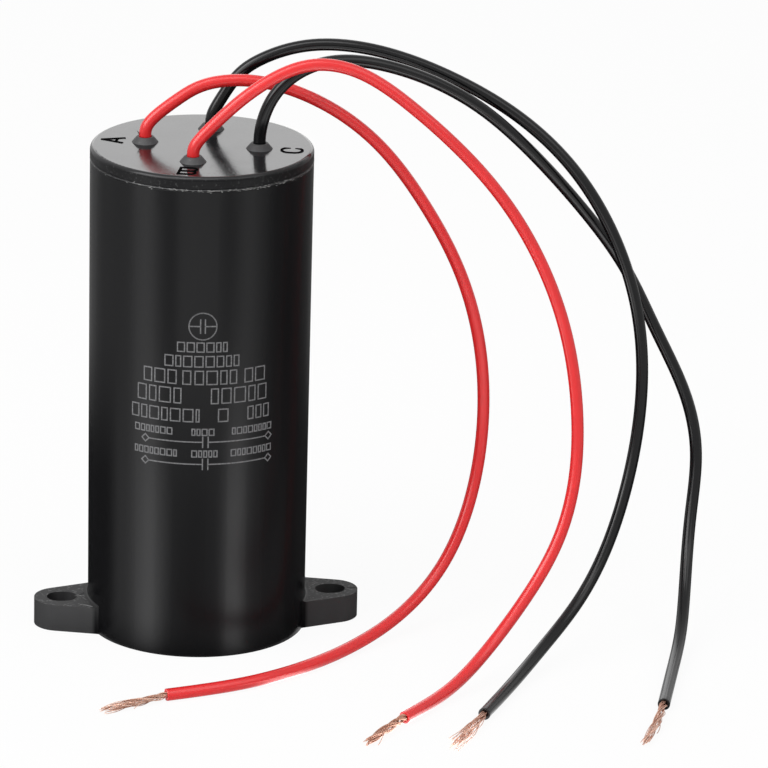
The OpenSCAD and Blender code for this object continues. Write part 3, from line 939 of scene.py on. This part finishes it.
def circuit_strokes(z):
    """Two leads from diamonds to a capacitor's plates."""
    left, right = math.radians(-35) * CASE_RIM_R / MM, math.radians(32) * CASE_RIM_R / MM
    plate, half, size = -1.2, 0.55, 0.8
    strokes = [((left + size, z), (plate - half, z)), ((plate + half, z), (right - size, z))]
    strokes += [((plate + side * half, z - 1.1), (plate + side * half, z + 1.1))
                for side in (-1, 1)]
    return strokes + diamond_strokes(left, z, size) + diamond_strokes(right, z, size)


def emblem_strokes(x, z, radius):
    """A plain ring round a capacitor's symbol."""
    count = 40
    turns = [math.tau * k / count for k in range(count + 1)]
    ring = [(x + radius * math.cos(turn), z + radius * math.sin(turn)) for turn in turns]
    gap, plate = radius * 0.17, radius * 0.5
    strokes = list(zip(ring, ring[1:]))
    for side in (-1, 1):
        strokes.append(((x + side * gap, z - plate), (x + side * gap, z + plate)))
        strokes.append(((x + side * gap, z), (x + side * radius, z)))
    return strokes


def wrapped_stroke(start, end, width):
    """The rule that lays a flat unit strip on the can from start to end."""
    start, end = Vector(start), Vector(end)
    run = end - start
    along = run.normalized()
    across = Vector((-along.y, along.x))

    def move(co):
        spot = start - along * width / 2 + (co.x + 0.5) * (run + along * width)
        spot += across * co.y * width
        return on_can(spot.x * MM / CASE_RIM_R, spot.y * MM, PRINT_LIFT)
    return move


class CAPACITOR_OT_print(bpy.types.Operator):
    """Add the generic marks etched on the can's front"""

    bl_idname = "capacitor.print"
    bl_label = "Etched print"

    def execute(self, context):
        rng = random.Random("print")
        strokes = emblem_strokes(*EMBLEM)
        for row in PRINT_ROWS:
            strokes += row_strokes(*row, rng)
        for z in CIRCUIT_ROWS:
            strokes += circuit_strokes(z)
        width = context.scene.capacitor_sizes.print_stroke / MM
        deselect()
        bpy.ops.mesh.primitive_grid_add(x_subdivisions=12, y_subdivisions=1, size=1)
        marks = joined_copies(context.object,
                              [wrapped_stroke(*ends, width) for ends in strokes],
                              "etched_marks")
        shell = marks.modifiers.new("depth", "SOLIDIFY")
        shell.thickness = PRINT_DEPTH
        bpy.ops.object.modifier_apply(modifier=shell.name)
        finished(marks, etched_print(context.scene.capacitor_colours.etched))
        return {"FINISHED"}


# ---- windings


def inner_finish(nodes, name, dark, light, per_metre, stretch=(1, 1, 1), rough=0.5,
                 metallic=0.0):
    """Gives sealed solids a finish of two shades through a noise of the right scale."""
    def recipe(finish):
        vector = finish.stretched(finish.place(), stretch)
        shade = finish.noise(vector, per_metre, 4.0)
        return {
            "Base Color": finish.mix(shade, dark, light),
            "Metallic": metallic,
            "Roughness": rough - 0.1 + shade * 0.2,
            "Normal": finish.bump(shade, 0.02 * MM),
        }
    dress(nodes, new_material(name, recipe))


class CAPACITOR_OT_windings(bpy.types.Operator):
    """Finish the sealed windings, joints and resin"""

    bl_idname = "capacitor.windings"
    bl_label = "Windings and resin"

    def execute(self, context):
        both = ("large_", "small_")
        inner_finish([size + "winding" for size in both], "wound_film",
                     (0.55, 0.57, 0.59), (0.85, 0.87, 0.88), 900, (8, 8, 0.3), rough=0.25)
        inner_finish([size + "core" for size in both], "core_plastic",
                     (0.72, 0.72, 0.70), (0.85, 0.85, 0.83), 300)
        inner_finish([size + "wrap" for size in both], "film_tape",
                     (0.70, 0.50, 0.08), (0.85, 0.66, 0.18), 250, (1, 1, 6), rough=0.3)
        inner_finish([size + "zinc_" + end for size in both for end in ("bottom", "top")],
                     "sprayed_zinc", (0.35, 0.36, 0.37), (0.62, 0.63, 0.64), 2600,
                     rough=0.65, metallic=1.0)
        inner_finish(["spacer_disc"], "pressed_board",
                     (0.42, 0.32, 0.20), (0.60, 0.50, 0.36), 700)
        inner_finish(["solder_" + key for key in LEADS], "solder",
                     (0.50, 0.50, 0.52), (0.75, 0.75, 0.77), 900, rough=0.35, metallic=1.0)
        inner_finish(["potting_resin"], "potting_resin",
                     (0.05, 0.035, 0.02), (0.10, 0.075, 0.05), 120, rough=0.3)
        return {"FINISHED"}


# ---- studio


class CAPACITOR_OT_camera(bpy.types.Operator):
    """Add the camera at its viewing angle"""

    bl_idname = "capacitor.camera"
    bl_label = "Camera"

    def execute(self, context):
        studio = context.scene.capacitor_studio
        az, el, roll = studio.azimuth, studio.elevation, studio.roll
        forward = Vector((math.sin(az) * math.cos(el), math.cos(az) * math.cos(el), -math.sin(el)))
        right = Vector((math.cos(az), -math.sin(az), 0))
        up = right.cross(forward)
        tilted_right = right * math.cos(roll) + up * math.sin(roll)
        tilted_up = up * math.cos(roll) - right * math.sin(roll)
        deselect()
        bpy.ops.object.camera_add()
        camera = context.object
        camera.name = "view_camera"
        turned = Matrix((tilted_right, tilted_up, -forward)).transposed().to_4x4()
        eye = Vector(studio.target) - forward * studio.distance
        camera.matrix_world = Matrix.Translation(eye) @ turned
        camera.data.sensor_width = 36
        camera.data.lens = studio.focal_length
        camera.data.clip_start = 0.05
        camera.data.clip_end = 20
        context.scene.camera = camera
        return {"FINISHED"}


def softbox(name, around, rise, distance, size, radiance, gloss_only):
    """A panel of light, unseen by the camera itself."""
    turn = bpy.context.scene.capacitor_studio.azimuth + math.pi - math.radians(around)
    lift = math.radians(rise)
    out = Vector((math.sin(turn) * math.cos(lift), math.cos(turn) * math.cos(lift),
                  math.sin(lift)))
    lamp = bpy.data.lights.new(name, "AREA")
    lamp.shape = "RECTANGLE"
    lamp.size, lamp.size_y = size
    lamp.energy = radiance * math.pi * size[0] * size[1]
    panel = placed(name, lamp)
    panel.location = Vector(PANELS_FACE) + distance * out
    panel.rotation_mode = "QUATERNION"
    panel.rotation_quaternion = out.to_track_quat("Z", "Y")
    panel.visible_camera = False
    panel.visible_diffuse = not gloss_only


def glow_at(stops, turn):
    """The brightness at a turn, straight between the stops."""
    for (start, low), (stop, high) in zip(stops, stops[1:]):
        if start <= turn <= stop:
            return low + (high - low) * (turn - start) / (stop - start)
    return stops[-1][1]


def reflected_turn(turn, reach):
    """The turn of the ray that the can's wall reflects to a place on the floor."""
    ray = turn
    for _ in range(12):
        lag = CASE_RIM_R * math.sin(math.radians(ray / 2)) / reach
        ray = 0.5 * ray + 0.5 * (turn + math.degrees(math.asin(lag)))
    return max(-180.0, min(180.0, ray))


def reflector_card():
    """A graded card on the floor round the can, which shows in its gloss only."""
    bm = bmesh.new()
    glow = bm.verts.layers.float.new("glow")
    facing = bpy.context.scene.capacitor_studio.azimuth + math.pi
    rings = []
    for reach in CARD_RINGS:
        high = max(0.0, min(1.0, (reach - CARD_LOW_END) / (CARD_HIGH_START - CARD_LOW_END)))
        level = max(CARD_DIM, min(1.0, (reach - CARD_FOOT) / CARD_FADE))
        ring = []
        for turn in range(-180, 180, 3):
            angle = facing - math.radians(turn)
            vert = bm.verts.new((reach * math.sin(angle), reach * math.cos(angle), -0.01 * MM))
            ray = reflected_turn(turn, reach)
            vert[glow] = level * (glow_at(LOW_GLOW, ray) * (1 - high)
                                  + glow_at(HIGH_GLOW, ray) * high)
            ring.append(vert)
        rings.append(ring)
    for inner, outer in zip(rings, rings[1:]):
        for k, vert in enumerate(inner):
            bm.faces.new((vert, outer[k], outer[k - 1], inner[k - 1]))
    bmesh.ops.recalc_face_normals(bm, faces=bm.faces)
    card = piece_from(bm, "reflector_card")
    made = bpy.data.materials.new("reflector_card")
    finish = Finish(made)
    strength = finish.node("ShaderNodeAttribute", {"attribute_name": "glow"}, output="Fac")
    finish.surface(finish.node("ShaderNodeEmission", sockets={"Strength": strength}))
    made.cycles.emission_sampling = "NONE"
    card.data.materials.append(made)
    for ray in ("camera", "diffuse", "transmission", "volume_scatter", "shadow"):
        setattr(card, "visible_" + ray, False)


def seen_directly(finish):
    """1 where the camera sees a thing, also in gloss and through glass, and 0 elsewhere."""
    rays = [finish.node("ShaderNodeLightPath", output=name)
            for name in ("Is Camera Ray", "Is Glossy Ray", "Is Transmission Ray")]
    return finish.ramp(rays[0] + rays[1] + rays[2], 0, 1)


def white_floor():
    """Pale floor: it takes shadows, and is lifted to white where the camera sees it."""
    made = bpy.data.materials.new("studio_floor")
    finish = Finish(made)
    paper = finish.node("ShaderNodeBsdfDiffuse", sockets={"Color": (0.86, 0.86, 0.86, 1)})
    glow = finish.node("ShaderNodeEmission", sockets={"Color": (1, 1, 1, 1), "Strength": 1.0})
    mixed = finish.node("ShaderNodeMixShader",
                        sockets={0: seen_directly(finish) * FLOOR_GLOW, 1: paper, 2: glow})
    finish.surface(mixed)
    return made


def white_world(level):
    """A world that lights at a level and is white in the camera, in gloss and in glass."""
    finish = Finish(bpy.context.scene.world)
    strength = seen_directly(finish) * (1 - level) + level
    sky = finish.node("ShaderNodeBackground",
                      sockets={"Color": (1, 1, 1, 1), "Strength": strength})
    finish.surface(sky, "ShaderNodeOutputWorld")


class CAPACITOR_OT_stage(bpy.types.Operator):
    """Add the pale floor, the white surroundings and the softboxes"""

    bl_idname = "capacitor.stage"
    bl_label = "Studio"

    def execute(self, context):
        deselect()
        bpy.ops.mesh.primitive_circle_add(vertices=96, radius=6.0, fill_type="NGON",
                                          location=(0, 0, -0.02 * MM))
        floor = context.object
        floor.name = "studio_floor"
        bpy.ops.object.transform_apply(location=True)
        floor.data.materials.append(white_floor())
        if context.scene.world is None:
            context.scene.world = bpy.data.worlds.new("studio")
        white_world(WORLD_LEVEL)
        for name, panel in SOFTBOXES.items():
            softbox(name, *panel)
        reflector_card()
        context.scene.view_settings.view_transform = "Standard"
        return {"FINISHED"}


# ---- add-on


class CAPACITOR_PT_build(bpy.types.Panel):
    bl_label = "Motor Run Capacitor"
    bl_space_type = "VIEW_3D"
    bl_region_type = "UI"
    bl_category = "Capacitor"

    def draw(self, context):
        layout = self.layout
        for group in (context.scene.capacitor_sizes, context.scene.capacitor_colours,
                      context.scene.capacitor_studio):
            box = layout.box()
            for name in group.__annotations__:
                box.prop(group, name)
        for operator in OPERATORS:
            layout.operator(operator.bl_idname)


OPERATORS = (
    CAPACITOR_OT_camera,
    CAPACITOR_OT_leads,
    CAPACITOR_OT_case,
    CAPACITOR_OT_lid,
    CAPACITOR_OT_seam,
    CAPACITOR_OT_flash,
    CAPACITOR_OT_print,
    CAPACITOR_OT_windings,
    CAPACITOR_OT_stage,
)
GROUPS = {
    "capacitor_sizes": CapacitorSizes,
    "capacitor_colours": CapacitorColours,
    "capacitor_studio": CapacitorStudio,
}


def register():
    for made in (*GROUPS.values(), *OPERATORS, CAPACITOR_PT_build):
        bpy.utils.register_class(made)
    for name, group in GROUPS.items():
        setattr(bpy.types.Scene, name, bpy.props.PointerProperty(type=group))


def unregister():
    for name in GROUPS:
        delattr(bpy.types.Scene, name)
    for made in reversed((*GROUPS.values(), *OPERATORS, CAPACITOR_PT_build)):
        bpy.utils.unregister_class(made)


def main():
    register()
    for operator in OPERATORS:
        category, name = operator.bl_idname.split(".")
        getattr(getattr(bpy.ops, category), name)()


if __name__ == "__main__":
    main()
